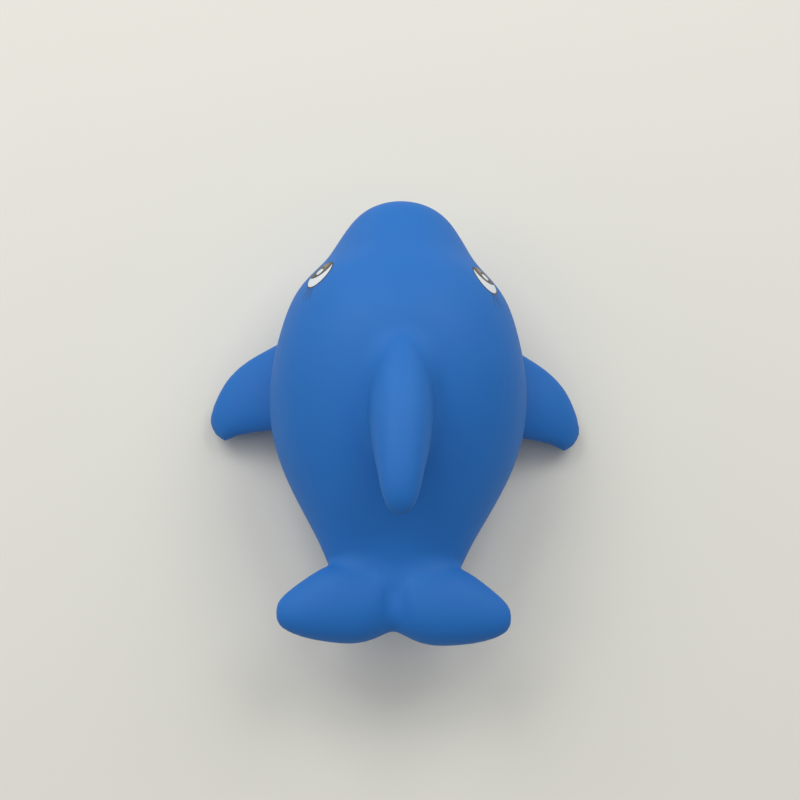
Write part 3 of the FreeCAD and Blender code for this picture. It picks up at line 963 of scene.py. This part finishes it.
# ------------------------------------------------------------------ the squeaker
@dataclass
class Squeaker:
    """The press-in squeaker: plug, reed block, wedge and film reed."""

    plastic: PlasticFinish
    film: FilmFinish
    face: float = 0.3 * MM
    seat: float = 1.3 * MM
    floor: float = 1.9 * MM
    top: float = 9.7 * MM
    flange_radius: float = 11.0 * MM
    barrel_radius: float = 8.0 * MM
    bead_low: float = 6.6 * MM
    bead_top: float = 8.2 * MM
    bead_proud: float = 0.9 * MM
    bead_ledge: float = 0.1 * MM
    bead_crest: float = 0.4 * MM
    bore_radius: float = 4.05 * MM
    outlet_radius: float = 1.5 * MM
    ring_inner: float = 3.6 * MM
    ring_outer: float = 4.6 * MM
    ring_depth: float = 0.2 * MM
    edge: float = 0.25 * MM

    def build(self) -> list[bpy.types.Object]:
        """Makes the plug and dresses the reed set.

        Returns:
            The plug and the three pieces of the reed set.
        """
        plastic = self.plastic.material()
        shape = lathe(self._profile(), Vector((0.0, SQUEAKER_Y, 0.0)), 96)
        plug = new_piece("squeaker_disc_and_barrel", shape, plastic)
        shade_smooth(plug, 35.0)
        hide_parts("squeaker_plug")
        dressed = [plug]
        reed_set = {"reed_block": plastic, "reed_wedge": plastic, "reed": self.film.material()}
        for node, material in reed_set.items():
            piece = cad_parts[node]
            piece.data.materials.clear()
            piece.data.materials.append(material)
            dressed.append(piece)
        return dressed

    def _profile(self) -> list[tuple[float, float]]:
        """Half profile of the plug, from the outlet round the flange, barrel and reed bore.

        Returns:
            (radius, height) corners, in metres.
        """
        edge, face, seat, top = self.edge, self.face, self.seat, self.top
        flange, barrel, bore, outlet = (
            self.flange_radius, self.barrel_radius, self.bore_radius, self.outlet_radius)
        hole = [(outlet, self.floor), (outlet, face + edge), (outlet + edge, face)]
        ring = [
            (self.ring_inner, face), (self.ring_inner + self.ring_depth, face + self.ring_depth),
            (self.ring_outer - self.ring_depth, face + self.ring_depth), (self.ring_outer, face)]
        rim = [
            (flange - 1.4 * edge, face), (flange - 0.4 * edge, face + 0.4 * edge),
            (flange, face + 1.4 * edge), (flange, seat - 0.6 * edge), (flange - 0.6 * edge, seat)]
        bead = [
            (barrel, seat), (barrel, self.bead_low),
            (barrel + self.bead_proud, self.bead_low + self.bead_ledge),
            (barrel + self.bead_proud * 0.9, self.bead_low + self.bead_crest),
            (barrel, self.bead_top)]
        mouth = [
            (barrel, top - edge), (barrel - edge, top), (bore + edge, top), (bore, top - edge),
            (bore, self.floor), (outlet, self.floor)]
        return hole + ring + rim + bead + mouth


# ------------------------------------------------------------------ floor, light and camera
@dataclass(frozen=True)
class Lamp:
    """A soft square lamp that looks at the toy."""

    name: str
    place: Vector
    watts: float
    side: float = 0.7

    def hang(self, target: Vector) -> None:
        """Puts the lamp in the scene.

        Args:
            target: the point that it looks at.
        """
        light = bpy.data.lights.new(self.name, "AREA")
        light.size = self.side
        light.energy = self.watts
        lamp = bpy.data.objects.new(self.name, light)
        lamp.location = self.place
        lamp.rotation_mode = "QUATERNION"
        lamp.rotation_quaternion = (target - self.place).to_track_quat("-Z", "Y")
        bpy.context.scene.collection.objects.link(lamp)


@dataclass
class Studio:
    """The pale floor, the soft lights and the camera of the photograph. Angles are in degrees."""

    floor: FloorFinish
    target: Vector = field(default_factory=lambda: Vector((0.46, 4.05, 28.0)) * MM)
    azimuth: float = -5.5
    elevation: float = 72.0
    roll: float = 7.0
    distance: float = 0.36
    sensor: float = 36.0
    pixels_per_mm: float = 3.38
    frame_pixels: float = 800.0
    clip_start: float = 0.02
    floor_half: float = 3.0
    sky: Colour = (1.0, 1.0, 1.0, 1.0)
    sky_strength: float = 0.3
    lamps: tuple[Lamp, ...] = field(default_factory=lambda: (
        Lamp("front left", Vector((-0.5, 0.6, 0.8)), 4.6),
        Lamp("front right", Vector((0.5, 0.6, 0.8)), 4.2),
        Lamp("left", Vector((-0.8, 0.0, 0.7)), 1.2),
        Lamp("top", Vector((0.0, 0.05, 1.1)), 1.2),
    ))

    def build(self) -> None:
        """Makes the floor, the lights and the camera."""
        shape = bmesh.new()
        bmesh.ops.create_grid(shape, x_segments=2, y_segments=2, size=self.floor_half)
        floor = to_object("floor", shape)
        floor.data.materials.append(self.floor.material())
        world = bpy.data.worlds.new("studio")
        world.use_nodes = True
        background = world.node_tree.nodes["Background"]
        background.inputs["Color"].default_value = self.sky
        background.inputs["Strength"].default_value = self.sky_strength
        bpy.context.scene.world = world
        for lamp in self.lamps:
            lamp.hang(self.target)
        self._camera()
        bpy.context.scene.view_settings.view_transform = "Standard"

    def _camera(self) -> None:
        """Places the camera at the photograph's angle."""
        azimuth, elevation = math.radians(self.azimuth), math.radians(self.elevation)
        roll = math.radians(self.roll)
        back = Vector((
            math.sin(azimuth) * math.cos(elevation),
            -math.cos(azimuth) * math.cos(elevation),
            math.sin(elevation)))
        level = (-back).cross(Vector((0.0, 0.0, 1.0))).normalized()
        upright = level.cross(-back)
        right = level * math.cos(roll) + upright * math.sin(roll)
        up = upright * math.cos(roll) - level * math.sin(roll)
        data = bpy.data.cameras.new("camera")
        data.sensor_width = self.sensor
        data.lens = self.pixels_per_mm * (self.distance / MM) / self.frame_pixels * self.sensor
        data.clip_start = self.clip_start
        camera = bpy.data.objects.new("camera", data)
        turn = Matrix((right, up, back)).transposed().to_4x4()
        camera.matrix_world = Matrix.Translation(self.target + back * self.distance) @ turn
        bpy.context.scene.collection.objects.link(camera)
        bpy.context.scene.camera = camera


def search_tree(piece: bpy.types.Object) -> BVHTree:
    """Builds a search tree of a piece's mesh.

    Args:
        piece: the object.

    Returns:
        The tree.
    """
    shape = bmesh.new()
    shape.from_mesh(piece.data)
    tree = BVHTree.FromBMesh(shape)
    shape.free()
    return tree


def main() -> None:
    """Builds the toy and its studio, piece by piece."""
    logging.basicConfig(level=logging.INFO, format="%(name)s: %(message)s")
    skin = VinylBody(VinylFinish()).build()
    LOG.info("%s: %d faces", skin.name, len(skin.data.polygons))
    tree = search_tree(skin)
    for side in Side:
        for film in PrintedEye(side).build(tree):
            LOG.info("%s: %d faces", film.name, len(film.data.polygons))
    for piece in Squeaker(PlasticFinish(), FilmFinish()).build():
        LOG.info("%s: %d faces", piece.name, len(piece.data.polygons))
    Studio(FloorFinish()).build()


if __name__ == "__main__":
    main()
